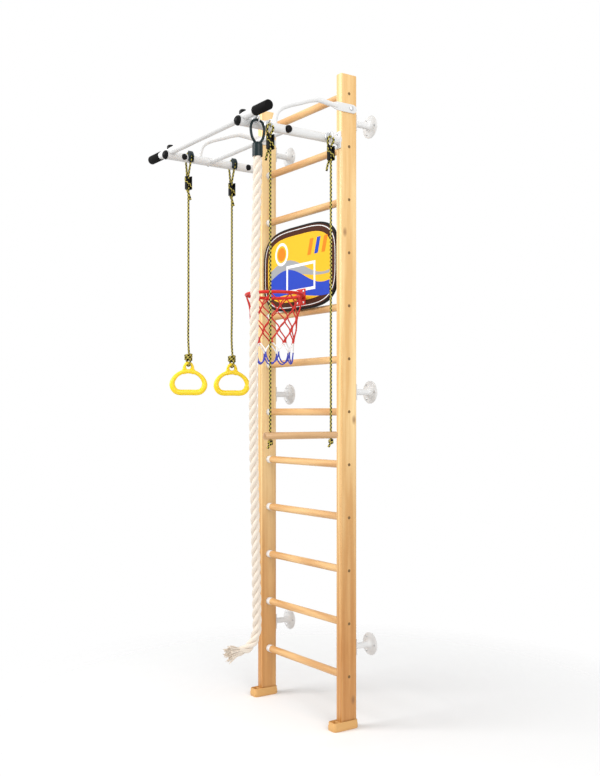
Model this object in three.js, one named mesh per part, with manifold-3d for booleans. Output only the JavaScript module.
// Wooden wall bars with a pull-up frame, gym rings, a trapeze, a climbing rope and a small ball hoop.
// Millimetres. +Z is up, +X is to the right seen from the room, and +Y points into the wall.
// The origin is in the wall plane at floor level, midway between the uprights.
import * as THREE from "three";
import { mergeVertices } from "three/addons/utils/BufferGeometryUtils.js";
import Module from "manifold-3d";

const wasm = await Module();
wasm.setup();

// Clearances
const seatGap = 0.3;
const sleeveGap = 1;

// Ladder
const uprightSpacing = 530;
const uprightThickness = 32;
const uprightDepth = 70;
const uprightCorner = 5;
const wallGap = 76;
const rungCount = 12;
const rungPitch = 191;
const rungDiameter = 28;
const rungSocketDepth = 12;
const bottomRungHeight = 189;
const topRungMargin = 71;

// Feet
const footSide = 8;
const footFront = 36;
const footBack = 5;
const footHeight = 32;
const footFloor = 6;
const footBevel = 4;
const footCorner = 13;
const footWall = 5;
const footRecessFloor = 12;

// Wall mounts
const flangeDiameter = 84;
const flangeEdge = 4;
const flangeCone = 5;
const mountTubeDiameter = 22;
const mountPlateHeight = 59;
const mountPlateThickness = 4;
const upperMountDrop = 98;
const middleMountDrop = 119;
const lowerMountDrop = 89;

// Pull-up frame
const armDiameter = 32;
const armWall = 2;
const armAboveSecondRung = 21;
const armPlateHeight = 61;
const armPlateThickness = 5;
const plugDome = 15;
const plugOverhang = 1.5;
const frontBarDiameter = 28;
const frontBarFromEnd = 18;
const frontBarRise = 16;
const frontBarOverhang = 158;
const gripLength = 86;
const gripWall = 2.4;
const gripEnd = 4;
const crossBarDiameter = 20;
const capDiameter = 26;
const capHeight = 9;
const barCapDiameter = 27;
const barCapHeight = 11;

// Braces from the arms to the uprights
const braceDiameter = 18;
const braceRise = 116;
const braceCrest = 6;
const bracePlateHeight = 31;
const bracePlateThickness = 5;
const bracePlateLead = 26;
const bracePlateTail = 4;

// Cords, rings, trapeze and climbing rope
const cordDiameter = 8;
const cordLoopEase = 2.5;
const adjusterWidth = 24;
const adjusterHeight = 50;
const adjusterPlate = 3;
const adjusterRail = 5;
const ringWidth = 146;
const ringTube = 20;
const ringEyeRadius = 15;
const ringEyeTube = 12;
const ringTurn = THREE.MathUtils.degToRad(-20);
const ringDrop = 788;
const ringAdjusterDrop = 94;
const ringClearance = 48;
const ringUprightClearance = 58;
const frontRingFromEnd = 95;
const eyeHoleDiameter = 17;
const eyeWire = 6;
const eyeWasher = 3;
const eyeWasherDiameter = 28;
const trapezeDrop = 1058;
const trapezeAdjusterDrop = 62;
const trapezeBarDiameter = 25;
const trapezeFromUpright = 60;
const trapezeOverhang = 24;
const hangerGap = 9;
const ropeFromEnd = 54;
const hookRise = 6;
const ropeDiameter = 29;
const ropeEyeWidth = 60;
const ropeEyeHeight = 80;
const ropeEyeWire = 9;
const ropeSleeveWall = 2.2;
const ropeSleeveLength = 48;
const ropeSleeveCrown = 6;
const tasselLength = 55;
const tasselDiameter = 66;

// Ball board, hoop and net
const boardSideGap = 2;
const boardHeight = 322;
const boardThickness = 10;
const boardPower = 3.6;
const boardBelowRung = 22;
const boardRung = 4;
const clipStrap = 3;
const clipWidth = 24;
const clipSpread = 300;
const clipTab = 42;
const hoopOffset = 20;
const hoopAboveBoardEdge = 46;
const rimDiameter = 210;
const rimWire = 12;
const bracketWidth = 58;
const bracketHeight = 62;
const bracketPlate = 4;
const tongueWidth = 36;
const tongueThickness = 5;
const tongueReach = 14;
const netLength = 252;
const netBottomDiameter = 134;
const netThickness = 4;

// Faceting of round pieces
const rodSides = 12;
const tubeSides = 16;
const cordSides = 8;

// Places that follow from the sizes above
const halfSpacing = uprightSpacing / 2;
const uprightY = -(wallGap + uprightDepth / 2);
const uprightFrontY = -(wallGap + uprightDepth);
const uprightFoot = footFloor + seatGap;
const rungHeight = (number) => bottomRungHeight + (rungCount - number) * rungPitch;
const uprightTop = rungHeight(1) + topRungMargin;
const armRadius = armDiameter / 2;
const armHeight = rungHeight(2) + armAboveSecondRung;
const rearRingReach = ringWidth / 2 + ringUprightClearance;
const frontRingReach = rearRingReach + ringWidth + ringClearance;
const armReach = frontRingReach + frontRingFromEnd;
const crossBarReach = (rearRingReach + frontRingReach) / 2;
const braceReach = (crossBarReach + frontRingReach) / 2;
const frontBarReach = armReach - frontBarFromEnd;
const frontBarLength = uprightSpacing + 2 * frontBarOverhang;
const plugSpigot = frontBarFromEnd - frontBarDiameter / 2 - sleeveGap;
const eyeRadius = (eyeHoleDiameter + eyeWire) / 2;
const eyeOffset = armRadius + seatGap + eyeWasher + eyeRadius + eyeWire / 2;
const ropeReach = armReach - ropeFromEnd;
const trapezeFrontReach = ropeReach - ropeEyeWidth / 2 - hangerGap - adjusterWidth / 2;
const trapezeRearReach = trapezeFromUpright;
const loopRadius = armRadius + seatGap + cordDiameter / 2 + sleeveGap;
const boardZ = rungHeight(boardRung) - boardBelowRung;
const boardBackY = uprightY - rungDiameter / 2 - clipStrap - 2 * seatGap;
const boardFrontY = boardBackY - boardThickness;
const rimZ = boardZ - boardHeight / 2 + hoopAboveBoardEdge;
const rimY = boardFrontY - 2 * seatGap - bracketPlate - tongueReach - rimDiameter / 2;

const finishes = {
  pine: { color: 0xecc486, roughness: 0.5, metalness: 0 },
  tanPlastic: { color: 0xd5a35c, roughness: 0.55, metalness: 0 },
  beech: { color: 0xbd8a5c, roughness: 0.45, metalness: 0 },
  whiteSteel: { color: 0xf0f0ee, roughness: 0.35, metalness: 0 },
  zincSteel: { color: 0xb8bcc0, roughness: 0.3, metalness: 1 },
  blackPlastic: { color: 0x141414, roughness: 0.4, metalness: 0 },
  blackFoam: { color: 0x1a1a1a, roughness: 0.8, metalness: 0 },
  ropePlastic: { color: 0x1c2a2c, roughness: 0.25, metalness: 0 },
  yellowPlastic: { color: 0xf4d31c, roughness: 0.25, metalness: 0 },
  stripedCord: { color: 0xb9a73c, roughness: 0.85, metalness: 0 },
  cottonRope: { color: 0xe9ddcc, roughness: 0.95, metalness: 0 },
  redSteel: { color: 0xbb2a22, roughness: 0.35, metalness: 0 },
  printedBoard: { color: 0xd9a63a, roughness: 0.4, metalness: 0 },
  netTwine: { color: 0xc24a3c, roughness: 0.9, metalness: 0 },
};

function addPiece(group, name, geometry, finish, place = [0, 0, 0]) {
  const mesh = new THREE.Mesh(geometry, new THREE.MeshStandardMaterial(finishes[finish]));
  mesh.name = name;
  mesh.position.set(...place);
  group.add(mesh);
  return mesh;
}

function addGroup(parent, place) {
  const group = new THREE.Group();
  group.position.set(...place);
  parent.add(group);
  return group;
}

function solidOf(geometry) {
  const bare = geometry.index ? geometry.toNonIndexed() : geometry.clone();
  bare.deleteAttribute("normal");
  bare.deleteAttribute("uv");
  const merged = mergeVertices(bare, 1e-3);
  const vertProperties = new Float32Array(merged.attributes.position.array);
  const triVerts = new Uint32Array(merged.index.array);
  return new wasm.Manifold(new wasm.Mesh({ numProp: 3, vertProperties, triVerts }));
}

function geometryOf(solid) {
  const { vertProperties, triVerts } = solid.getMesh();
  const geometry = new THREE.BufferGeometry();
  geometry.setAttribute("position", new THREE.BufferAttribute(vertProperties, 3));
  geometry.setIndex(new THREE.BufferAttribute(triVerts, 1));
  geometry.computeVertexNormals();
  return geometry;
}

function joined(...geometries) {
  return geometryOf(geometries.map(solidOf).reduce((whole, next) => whole.add(next)));
}

function cut(geometry, ...tools) {
  return geometryOf(tools.map(solidOf).reduce((left, tool) => left.subtract(tool), solidOf(geometry)));
}

function box(size, centre) {
  return new THREE.BoxGeometry(...size).translate(...centre);
}

// A straight round bar between two points
function rod(diameter, from, to, sides = rodSides) {
  const start = new THREE.Vector3(...from);
  const along = new THREE.Vector3(...to).sub(start);
  const turn = new THREE.Quaternion().setFromUnitVectors(
    new THREE.Vector3(0, 1, 0), along.clone().normalize());
  const middle = start.addScaledVector(along, 0.5);
  return new THREE.CylinderGeometry(diameter / 2, diameter / 2, along.length(), sides)
    .applyQuaternion(turn)
    .translate(middle.x, middle.y, middle.z);
}

// A body turned about the Y axis, from a profile of radius and height
function turned(profile, sides = tubeSides) {
  return new THREE.LatheGeometry(profile.map(([radius, height]) => new THREE.Vector2(radius, height)), sides);
}

// A round hollow tube along the Y axis, open at both ends
function hollowTube(diameter, wall, length) {
  const outer = diameter / 2;
  const inner = outer - wall;
  return turned([[inner, 0], [outer, 0], [outer, length], [inner, length], [inner, 0]]);
}

function roundSection(diameter, sides) {
  const points = [];
  for (let i = 0; i < sides; i += 1) {
    const angle = (2 * Math.PI * i) / sides;
    points.push(new THREE.Vector2(Math.cos(angle), Math.sin(angle)).multiplyScalar(diameter / 2));
  }
  return new THREE.Shape(points);
}

// A solid tube along a smooth line through the points, with the same number of steps between each two
function bentTube(points, diameter, stepsPerSpan = 1, sides = cordSides) {
  const knots = points.map((point) => new THREE.Vector3(...point));
  const extrudePath = new THREE.CatmullRomCurve3(knots, false, "centripetal");
  extrudePath.getUtoTmapping = (share) => share;
  const steps = stepsPerSpan * (points.length - 1);
  return new THREE.ExtrudeGeometry(roundSection(diameter, sides), { steps, extrudePath });
}

// A closed loop of tube in the YZ plane, mirrored in Z from points that run from its top to its bottom
function closedLoop(halfPoints, diameter, steps, sides = 8) {
  const right = halfPoints.map(([y, z]) => new THREE.Vector3(0, y, z));
  const left = halfPoints.slice(1, -1).reverse().map(([y, z]) => new THREE.Vector3(0, -y, z));
  const path = new THREE.CatmullRomCurve3([...right, ...left], true, "centripetal");
  return new THREE.TubeGeometry(path, steps, diameter / 2, sides, true);
}

function roundedRectangle(width, height, corner) {
  const shape = new THREE.Shape();
  const x = width / 2 - corner;
  const y = height / 2 - corner;
  shape.absarc(x, y, corner, 0, Math.PI / 2);
  shape.absarc(-x, y, corner, Math.PI / 2, Math.PI);
  shape.absarc(-x, -y, corner, Math.PI, 1.5 * Math.PI);
  shape.absarc(x, -y, corner, 1.5 * Math.PI, 2 * Math.PI);
  return shape;
}

function flatPlate(shape, thickness, curveSegments = 3) {
  return new THREE.ExtrudeGeometry(shape, { depth: thickness, bevelEnabled: false, curveSegments });
}

// An arc of strap in the XZ plane around the Y axis, as wide as its stretch along Y
function strapArc(innerRadius, outerRadius, fromDegrees, toDegrees, fromY, toY) {
  const start = THREE.MathUtils.degToRad(fromDegrees);
  const end = THREE.MathUtils.degToRad(toDegrees);
  const shape = new THREE.Shape();
  shape.absarc(0, 0, outerRadius, start, end);
  shape.absarc(0, 0, innerRadius, end, start, true);
  return flatPlate(shape, toY - fromY, 5).rotateX(Math.PI / 2).translate(0, toY, 0);
}

// Uprights have a blind socket in the inner face for each rung
function uprightGeometry(innerSide) {
  const section = roundedRectangle(uprightThickness, uprightDepth, uprightCorner);
  const post = flatPlate(section, uprightTop - uprightFoot).translate(0, 0, uprightFoot);
  const innerFace = (innerSide * uprightThickness) / 2;
  const sockets = [];
  for (let number = 1; number <= rungCount; number += 1) {
    const bottom = [innerFace - innerSide * rungSocketDepth, 0, rungHeight(number)];
    const mouth = [innerFace + innerSide * rungSocketDepth, 0, rungHeight(number)];
    const ends = innerSide > 0 ? [bottom, mouth] : [mouth, bottom];
    sockets.push(rod(rungDiameter + 2 * seatGap, ...ends));
  }
  return cut(post, ...sockets);
}

// A foot is a boot: the upright stands in its pocket, with an open recess in front of it
function footGeometry() {
  const width = uprightThickness + 2 * footSide;
  const length = footFront + uprightDepth + footBack;
  const block = new THREE.ExtrudeGeometry(roundedRectangle(width, length, footCorner), {
    depth: footHeight - 2 * footBevel, bevelThickness: footBevel, bevelSize: footBevel,
    bevelOffset: -footBevel, bevelSegments: 1, curveSegments: 4,
  }).translate(0, (footBack - footFront) / 2, footBevel);
  const pocket = roundedRectangle(uprightThickness + 2 * seatGap, uprightDepth + 2 * seatGap,
    uprightCorner + seatGap);
  const recessWidth = width - 2 * footWall;
  const recessLength = footFront - seatGap - 2 * footWall;
  const recess = roundedRectangle(recessWidth, recessLength, footCorner - footWall);
  const recessY = -uprightDepth / 2 - seatGap - footWall - recessLength / 2;
  return cut(block, flatPlate(pocket, footHeight).translate(0, 0, footFloor),
    flatPlate(recess, footHeight).translate(0, recessY, footRecessFloor));
}

// A wall mount is a round flange, a tube and a plate behind the upright
function wallMountGeometry() {
  const flange = flangeDiameter / 2;
  const tube = mountTubeDiameter / 2;
  const end = wallGap - seatGap;
  const spool = turned([
    [0, -end], [tube, -end], [tube, -flangeEdge - 2 * flangeCone], [2 * tube, -flangeEdge - flangeCone / 2],
    [flange - flangeEdge, -flangeEdge], [flange, -flangeEdge / 2], [flange, 0], [0, 0],
  ]);
  const plateY = -end + mountPlateThickness / 2;
  const plate = box([uprightThickness - 2 * uprightCorner + 6, mountPlateThickness, mountPlateHeight],
    [0, plateY, 0]);
  return joined(spool, plate);
}

// An arm is a tube along -Y on a plate bolted to the front of an upright, notched for the front bar
function armGeometry() {
  const plateBack = -seatGap;
  const plate = box([uprightThickness, armPlateThickness, armPlateHeight],
    [0, plateBack - armPlateThickness / 2, 0]);
  const length = armReach - seatGap - armPlateThickness / 2;
  const tube = hollowTube(armDiameter, armWall, length).translate(0, -armReach, 0);
  const notch = rod(frontBarDiameter + 2 * seatGap, [-armDiameter, -frontBarReach, frontBarRise],
    [armDiameter, -frontBarReach, frontBarRise], tubeSides);
  return cut(joined(tube, plate), notch);
}

function armTool(length) {
  return rod(armDiameter + 2 * seatGap, [0, -length, 0], [0, length, 0], tubeSides);
}

function armPlugGeometry() {
  const inside = armRadius - armWall - seatGap;
  const outside = armRadius + plugOverhang;
  const dome = [0, 22.5, 45, 67.5, 90].map((degrees) => {
    const angle = THREE.MathUtils.degToRad(degrees);
    return [outside * Math.sin(angle), -plugDome * Math.cos(angle)];
  });
  return turned([...dome, [inside, 0], [inside, plugSpigot], [0, plugSpigot]]);
}

function gripGeometry() {
  const inner = frontBarDiameter / 2 + seatGap;
  const outer = inner + gripWall;
  return turned([
    [0, -gripEnd], [outer * 0.8, -gripEnd], [outer, -gripEnd * 0.2], [outer, gripLength - gripEnd - 2],
    [outer - 1, gripLength - gripEnd], [inner, gripLength - gripEnd], [inner, 0], [0, 0],
  ]);
}

// A domed cap that sits on a round tube running along Y, with its dome towards +X
function saddleCap(diameter, height, tubeRadius) {
  const radius = diameter / 2;
  const dome = turned([
    [0, tubeRadius * 0.6], [radius, tubeRadius * 0.6], [radius, tubeRadius + height * 0.4],
    [radius * 0.7, tubeRadius + height * 0.85], [0, tubeRadius + height],
  ]).rotateZ(-Math.PI / 2);
  return cut(dome, rod(2 * (tubeRadius + seatGap), [0, -diameter, 0], [0, diameter, 0], tubeSides));
}

// A brace rises from the top of an arm, bends back as a handle and ends in a plate on the upright's side
function braceGeometry() {
  const plateX = uprightThickness / 2 + seatGap + bracePlateThickness / 2;
  const foot = -braceReach;
  const path = [
    [0, foot, armRadius - 6], [0, foot + 4, armRadius + 18], [1, foot + 12, armRadius + 40],
    [3, foot + 27, armRadius + 55], [6, foot + 46, armRadius + 65], [12, foot + 100, braceRise - 15],
    [plateX - 3, foot + 148, braceRise + 2], [plateX - 1, foot + 167, braceRise + braceCrest],
    [plateX, foot + 190, braceRise + braceCrest - 1], [plateX, -bracePlateLead - 16, braceRise + 1],
    [plateX, 4 - bracePlateLead, braceRise],
  ];
  const handle = bentTube(path, braceDiameter, 1, 10);
  const half = bracePlateHeight / 2;
  const tail = uprightDepth - bracePlateTail - half;
  const shape = new THREE.Shape();
  shape.moveTo(-bracePlateLead - half, -braceDiameter / 2);
  shape.lineTo(-bracePlateLead + half / 2, -half);
  shape.absarc(tail, 0, half, -Math.PI / 2, Math.PI / 2);
  shape.lineTo(-bracePlateLead + half / 2, half);
  shape.lineTo(-bracePlateLead - half, braceDiameter / 2);
  const plate = flatPlate(shape, bracePlateThickness, 8)
    .rotateX(Math.PI / 2)
    .rotateZ(Math.PI / 2)
    .translate(plateX - bracePlateThickness / 2, 0, braceRise);
  return cut(joined(handle, plate), armTool(armReach));
}

// An eye bolt on the side of an arm, with its hole along Y and its middle at the origin
function eyeBoltGeometry() {
  const ring = new THREE.TorusGeometry(eyeRadius, eyeWire / 2, 6, 12).rotateX(Math.PI / 2);
  const washerFace = armRadius + seatGap - eyeOffset;
  const washer = rod(eyeWasherDiameter, [washerFace, 0, 0], [washerFace + eyeWasher, 0, 0]);
  const shank = rod(eyeWire + 2, [washerFace, 0, 0], [-eyeRadius, 0, 0]);
  return joined(ring, washer, shank);
}

// A keeper straddles the cord loop on the arm's side, and bridges it above
function keeperGeometry() {
  const seat = armRadius + seatGap;
  const bridge = loopRadius + cordDiameter / 2 + 2 * sleeveGap;
  const inside = cordDiameter / 2 + 2 * seatGap;
  const outside = inside + 4;
  return joined(
    strapArc(seat, bridge + 3, -38, 62, -outside, -inside),
    strapArc(seat, bridge + 3, -38, 62, inside, outside),
    strapArc(bridge, bridge + 3, 12, 62, -outside, outside),
  );
}

// An adjuster is a channel for the cord with a slanting bar across its open side, which faces +X
function adjusterGeometry() {
  const channel = adjusterWidth - 2 * adjusterRail;
  const back = -cordDiameter / 2 - seatGap - adjusterPlate;
  const front = cordDiameter / 2 + 1;
  const railY = (channel + adjusterRail) / 2;
  const barFront = front + 3;
  const rail = (side) => box([front + 3 - back, adjusterRail, adjusterHeight],
    [(front + 3 + back) / 2, side * railY, 0]);
  const plate = box([adjusterPlate, adjusterWidth, adjusterHeight], [back + adjusterPlate / 2, 0, 0]);
  const slant = Math.atan2(adjusterHeight * 0.5, channel + adjusterRail);
  const bar = box([barFront - front, Math.hypot(channel + adjusterRail, adjusterHeight * 0.5), 8], [0, 0, 0])
    .rotateX(-slant)
    .translate((front + barFront) / 2, 0, 0);
  return joined(plate, rail(-1), rail(1), bar);
}

// A gym ring hangs from its eye, and its origin is in the middle of the eye's top
function gymRingGeometry() {
  const side = (ringWidth - ringTube) / 2;
  const loop = closedLoop([
    [0, -31], [side * 0.45, -37], [side * 0.83, -55], [side, -81], [side * 0.9, -100],
    [side * 0.72, -110], [side * 0.5, -113], [0, -113],
  ], ringTube, 28);
  const eye = new THREE.TorusGeometry(ringEyeRadius, ringEyeTube / 2, 8, 24)
    .rotateY(Math.PI / 2)
    .translate(0, 0, -ringEyeRadius);
  const shoulder = (way) => rod(ringEyeTube, [0, way * 14, -20], [0, way * 31, -41], 8);
  return joined(loop, eye, shoulder(-1), shoulder(1));
}

// The ring's cord runs from a loop round the eye's top, up the adjuster's channel and over the arm
function ringCordGeometry() {
  const eye = -ringDrop;
  const loopDrop = (ringEyeTube + cordDiameter) / 2 + 2 * seatGap;
  const loopSide = (ringEyeTube + cordDiameter) / 2 + cordLoopEase;
  const loop = [];
  for (let degrees = 190; degrees <= 350; degrees += 10) {
    const angle = THREE.MathUtils.degToRad(degrees);
    loop.push([loopSide * Math.cos(angle), 0, eye + loopDrop * Math.sin(angle)]);
  }
  return bentTube([
    [-8.5, 0, eye + 30], [-11.8, 0, eye + 12], ...loop, [11.8, 0, eye + 12], [4.5, 0, eye + 38],
    [0, 0, eye + 70], [0, 0, eye + 200], [0, 0, eye + 320], [0, 0, eye + 440], [0, 0, eye + 560],
    [0, 0, -126], [0, 0, -66], [12, 0, -32], [20.8, 0, -7], [21.8, 0, 2], [18.9, 0, 11],
    [11, 0, 18.9], [0, 0, 21.8], [-11, 0, 18.9], [-18.9, 0, 11], [-21.8, 0, 2], [-20.8, 0, -7],
    [-16.5, 0, -32], [-12.2, 0, -66], [-12.2, 0, -118], [-10, 8, -136], [-8, 14, -156],
  ], cordDiameter);
}

// A trapeze cord runs from a knot under the bar, up the adjuster's channel and through the eye
function trapezeCordGeometry() {
  const knot = new THREE.SphereGeometry(cordDiameter * 1.1, 8, 5)
    .translate(0, 0, -trapezeDrop - trapezeBarDiameter / 2 - cordDiameter * 1.1);
  const line = bentTube([
    [0, 0, -trapezeDrop - trapezeBarDiameter / 2 - cordDiameter * 1.6], [0, 0, -trapezeDrop],
    [0, 0, 150 - trapezeDrop], [0, 0, 350 - trapezeDrop], [0, 0, 550 - trapezeDrop],
    [0, 0, 750 - trapezeDrop], [0, 0, -95], [0, 0, -40], [0, 5, -30], [0, 10.5, -21], [0, 12, -13.5],
    [0, 8, -6.5], [0, 0, -3.8], [0, -8, -6.5], [0, -12, -13.5], [-4, -10.5, -21], [-10, -5, -30],
    [-12.2, 0, -38], [-12.2, 0, -88], [-11, -7, -106], [-9, -12, -124],
  ], cordDiameter);
  return joined(line, knot);
}

function trapezeBarGeometry(length, cordSpread) {
  const half = length / 2;
  const round = trapezeBarDiameter / 2;
  const bar = turned([
    [0, -half], [round * 0.7, -half], [round, -half + 4], [round, half - 4], [round * 0.7, half], [0, half],
  ]);
  const bore = cordDiameter + 2 * sleeveGap;
  const hole = (y) => rod(bore, [0, y, -trapezeBarDiameter], [0, y, trapezeBarDiameter]);
  return cut(bar, hole(-cordSpread / 2), hole(cordSpread / 2));
}

// The rope's moulded eye is a loop on a sleeve, and its origin is in the middle of the loop's top
function ropeEyeGeometry() {
  const side = (ropeEyeWidth - ropeEyeWire) / 2;
  const low = ropeEyeWire / 2 - ropeEyeHeight;
  const loop = closedLoop([
    [0, 0], [side * 0.66, -5], [side, -22], [side, low * 0.58], [side * 0.6, low * 0.92], [0, low - 5],
  ], ropeEyeWire, 22);
  const inner = ropeDiameter / 2 + sleeveGap;
  const outer = inner + ropeSleeveWall;
  const top = low - ropeSleeveCrown;
  const mouth = low - ropeSleeveLength;
  const sleeve = turned([
    [0, top - ropeSleeveCrown], [inner, top - ropeSleeveCrown], [inner, mouth], [outer, mouth],
    [outer, top], [outer * 0.75, low], [0, low],
  ]).rotateX(Math.PI / 2);
  return joined(loop, sleeve);
}

// The rope hangs below its sleeve, turns to the front near the floor and ends in a frayed tassel
function climbingRopeGeometry() {
  const top = ropeEyeWire / 2 - ropeEyeHeight - 2 * ropeSleeveCrown - seatGap;
  const line = bentTube([
    [0, 0, top], [0, 0, -150], [0, -1, -206], [0, -7, -426], [0, -12, -646], [0, -16, -856],
    [0, -15, -1076], [0, -10, -1306], [0, -5, -1526], [0, -3, -1656], [0, -4, -1716], [0, -18, -1750],
    [0, -44, -1769], [0, -72, -1773],
  ], ropeDiameter, 1, 10);
  const neck = ropeDiameter / 2 - 1;
  const flare = tasselDiameter / 2;
  const tassel = turned([
    [0, 0], [neck, 0], [flare * 0.8, tasselLength * 0.5], [flare, tasselLength * 0.8],
    [flare * 0.85, tasselLength], [0, tasselLength],
  ]).rotateX(Math.PI).translate(0, -66, -1773);
  return joined(line, tassel);
}

// The board's outline is a superellipse that fills the width between the uprights
function boardGeometry() {
  const halfWidth = (uprightSpacing - uprightThickness) / 2 - boardSideGap;
  const count = 48;
  const points = [];
  const bulge = (value) => Math.sign(value) * Math.abs(value) ** (2 / boardPower);
  for (let i = 0; i < count; i += 1) {
    const angle = (2 * Math.PI * i) / count;
    const x = halfWidth * bulge(Math.cos(angle));
    const z = (boardHeight / 2) * bulge(Math.sin(angle));
    points.push(new THREE.Vector2(x, z));
  }
  return flatPlate(new THREE.Shape(points), boardThickness).rotateX(Math.PI / 2);
}

// A clip hooks over a rung and runs down behind the board, and its origin is on the rung's axis
function clipGeometry() {
  const inner = rungDiameter / 2 + seatGap;
  const outer = inner + clipStrap;
  const shape = new THREE.Shape();
  shape.moveTo(-outer, -clipTab);
  shape.lineTo(-inner, -clipTab);
  shape.absarc(0, 0, inner, Math.PI, -Math.PI / 6, true);
  shape.absarc(0, 0, outer, -Math.PI / 6, Math.PI);
  return flatPlate(shape, clipWidth, 8)
    .rotateX(Math.PI / 2)
    .rotateZ(Math.PI / 2)
    .translate(-clipWidth / 2, 0, 0);
}

// The bracket's back is at the origin plane, and it carries the rim's tongue on a folded lip
function bracketGeometry() {
  const lip = bracketPlate + tongueReach - rimWire / 2 - sleeveGap;
  const lipZ = -tongueThickness / 2 - seatGap - bracketPlate / 2;
  return joined(
    box([bracketWidth, bracketPlate, bracketHeight], [0, -bracketPlate / 2, 0]),
    box([tongueWidth, lip, bracketPlate], [0, -lip / 2, lipZ]),
  );
}

function hoopGeometry() {
  const rim = new THREE.TorusGeometry(rimDiameter / 2, rimWire / 2, 8, 32);
  const reach = tongueReach + rimWire / 2;
  const tongue = box([tongueWidth, reach, tongueThickness],
    [0, rimDiameter / 2 + tongueReach - reach / 2, 0]);
  return joined(rim, tongue);
}

// The net is a soft funnel, open above and below
function netGeometry() {
  const top = rimDiameter / 2;
  const bottom = netBottomDiameter / 2;
  const start = -rimWire / 2 - seatGap;
  const end = start - netLength;
  const middle = (start + end) / 2;
  const waist = bottom + (top - bottom) * 0.32;
  const half = netThickness / 2;
  return turned([
    [bottom - half, end], [bottom + half, end], [waist + half, middle], [top + half, start],
    [top - half, start], [waist - half, middle], [bottom - half, end],
  ], 12).rotateX(Math.PI / 2);
}

const wallBars = new THREE.Group();

function addLadder() {
  const ladder = addGroup(wallBars, [0, uprightY, 0]);
  for (const [side, name] of [[-1, "left"], [1, "right"]]) {
    addPiece(ladder, `upright_${name}`, uprightGeometry(-side), "pine", [side * halfSpacing, 0, 0]);
    addPiece(ladder, `foot_${name}`, footGeometry(), "tanPlastic", [side * halfSpacing, 0, 0]);
    const mounts = addGroup(wallBars, [side * halfSpacing, 0, 0]);
    addPiece(mounts, `wall_mount_upper_${name}`, wallMountGeometry(), "whiteSteel",
      [0, 0, rungHeight(1) - upperMountDrop]);
    addPiece(mounts, `wall_mount_middle_${name}`, wallMountGeometry(), "whiteSteel",
      [0, 0, rungHeight(6) - middleMountDrop]);
    addPiece(mounts, `wall_mount_lower_${name}`, wallMountGeometry(), "whiteSteel",
      [0, 0, rungHeight(11) - lowerMountDrop]);
  }
  const half = (uprightSpacing - uprightThickness) / 2 + rungSocketDepth - seatGap;
  for (let number = 1; number <= rungCount; number += 1) {
    const name = `rung_${String(number).padStart(2, "0")}`;
    const rung = rod(rungDiameter, [-half, 0, 0], [half, 0, 0]);
    addPiece(ladder, name, rung, "pine", [0, 0, rungHeight(number)]);
  }
}

function addPullUpFrame() {
  const frame = addGroup(wallBars, [0, uprightFrontY, armHeight]);
  for (const [side, name] of [[-1, "left"], [1, "right"]]) {
    const arm = addGroup(frame, [side * halfSpacing, 0, 0]);
    addPiece(arm, `arm_${name}`, armGeometry(), "whiteSteel");
    addPiece(arm, `arm_plug_${name}`, armPlugGeometry(), "blackPlastic", [0, -armReach - seatGap, 0]);
    addPiece(arm, `brace_${name}`, braceGeometry(), "whiteSteel");
    addPiece(arm, `cross_bar_cap_${name}`, saddleCap(capDiameter, capHeight, armRadius), "blackPlastic",
      [0, -crossBarReach, 0]).rotation.z = side < 0 ? Math.PI : 0;
    const barCap = addGroup(arm, [0, -frontBarReach, frontBarRise]);
    barCap.rotation.z = Math.PI / 2;
    const cap = saddleCap(barCapDiameter, barCapHeight, frontBarDiameter / 2);
    addPiece(barCap, `front_bar_cap_${name}`, cap, "blackPlastic").rotation.y = -Math.PI / 2;
    const gripPlace = [side * (frontBarLength / 2 + seatGap), -frontBarReach, frontBarRise];
    const grip = addPiece(frame, `grip_${name}`, gripGeometry(), "blackFoam", gripPlace);
    grip.rotation.z = (side * Math.PI) / 2;
  }
  const frontBar = hollowTube(frontBarDiameter, armWall, frontBarLength)
    .translate(0, -frontBarLength / 2, 0)
    .rotateZ(Math.PI / 2);
  addPiece(frame, "front_bar", frontBar, "whiteSteel", [0, -frontBarReach, frontBarRise]);
  const crossBar = rod(crossBarDiameter, [-halfSpacing, 0, 0], [halfSpacing, 0, 0]);
  const leftArm = armTool(armReach).translate(-halfSpacing, 0, 0);
  const rightArm = armTool(armReach).translate(halfSpacing, 0, 0);
  addPiece(frame, "cross_bar", cut(crossBar, leftArm, rightArm), "whiteSteel", [0, -crossBarReach, 0]);
}

function addRings() {
  const arm = addGroup(wallBars, [-halfSpacing, uprightFrontY, armHeight]);
  for (const [name, reach] of [["front", frontRingReach], ["rear", rearRingReach]]) {
    const hanger = addGroup(arm, [0, -reach, 0]);
    addPiece(hanger, `${name}_ring_keeper`, keeperGeometry(), "ropePlastic");
    addPiece(hanger, `${name}_ring_cord`, ringCordGeometry(), "stripedCord");
    addPiece(hanger, `${name}_ring_adjuster`, adjusterGeometry(), "blackPlastic",
      [0, 0, -ringAdjusterDrop]);
    const ring = addPiece(hanger, `${name}_ring`, gymRingGeometry(), "yellowPlastic", [0, 0, -ringDrop]);
    ring.rotation.z = ringTurn;
  }
}

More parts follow.
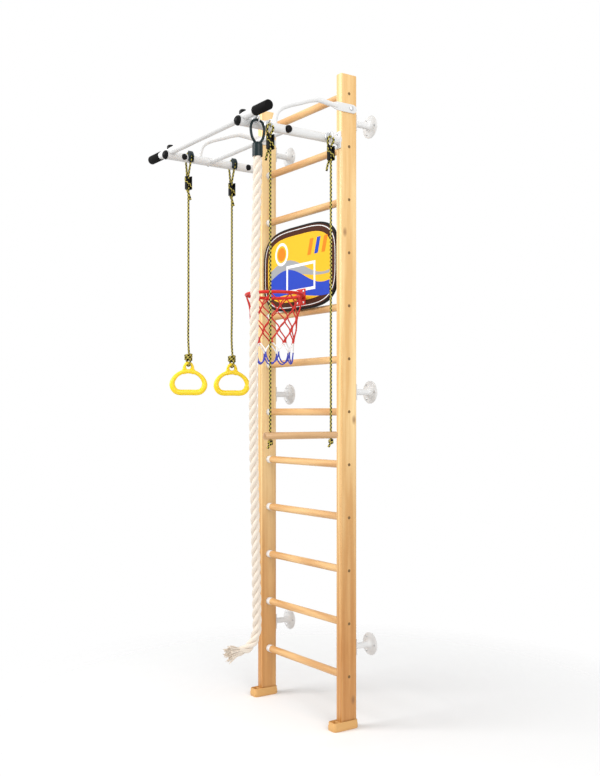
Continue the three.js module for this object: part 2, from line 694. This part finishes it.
function addTrapeze() {
  const hangers = addGroup(wallBars, [halfSpacing + eyeOffset, uprightFrontY, armHeight]);
  for (const [name, reach] of [["front", trapezeFrontReach], ["rear", trapezeRearReach]]) {
    const hanger = addGroup(hangers, [0, -reach, 0]);
    addPiece(hanger, `trapeze_eye_${name}`, eyeBoltGeometry(), "zincSteel");
    addPiece(hanger, `trapeze_cord_${name}`, trapezeCordGeometry(), "stripedCord");
    addPiece(hanger, `trapeze_adjuster_${name}`, adjusterGeometry(), "blackPlastic",
      [0, 0, -trapezeAdjusterDrop]);
  }
  const spread = trapezeFrontReach - trapezeRearReach;
  addPiece(hangers, "trapeze_bar", trapezeBarGeometry(spread + 2 * trapezeOverhang, spread), "beech",
    [0, -(trapezeFrontReach + trapezeRearReach) / 2, -trapezeDrop]);
}

function addClimbingRope() {
  const hanger = addGroup(wallBars,
    [halfSpacing + eyeOffset, uprightFrontY - ropeReach, armHeight + hookRise]);
  addPiece(hanger, "rope_hook", eyeBoltGeometry(), "zincSteel");
  const hang = (ropeEyeWire - eyeHoleDiameter) / 2 + sleeveGap;
  addPiece(hanger, "rope_eye", ropeEyeGeometry(), "ropePlastic", [0, 0, hang]);
  addPiece(hanger, "climbing_rope", climbingRopeGeometry(), "cottonRope", [0, 0, hang]);
}

function addBallHoop() {
  addPiece(wallBars, "backboard", boardGeometry(), "printedBoard", [0, boardBackY, boardZ]);
  for (const [side, name] of [[-1, "left"], [1, "right"]]) {
    addPiece(wallBars, `board_clip_${name}`, clipGeometry(), "zincSteel",
      [(side * clipSpread) / 2, uprightY, rungHeight(boardRung)]);
  }
  addPiece(wallBars, "hoop_bracket", bracketGeometry(), "redSteel",
    [hoopOffset, boardFrontY - seatGap, rimZ]);
  addPiece(wallBars, "hoop", hoopGeometry(), "redSteel", [hoopOffset, rimY, rimZ]);
  addPiece(wallBars, "net", netGeometry(), "netTwine", [hoopOffset, rimY, rimZ]);
}

addLadder();
addPullUpFrame();
addRings();
addTrapeze();
addClimbingRope();
addBallHoop();

export default wallBars;
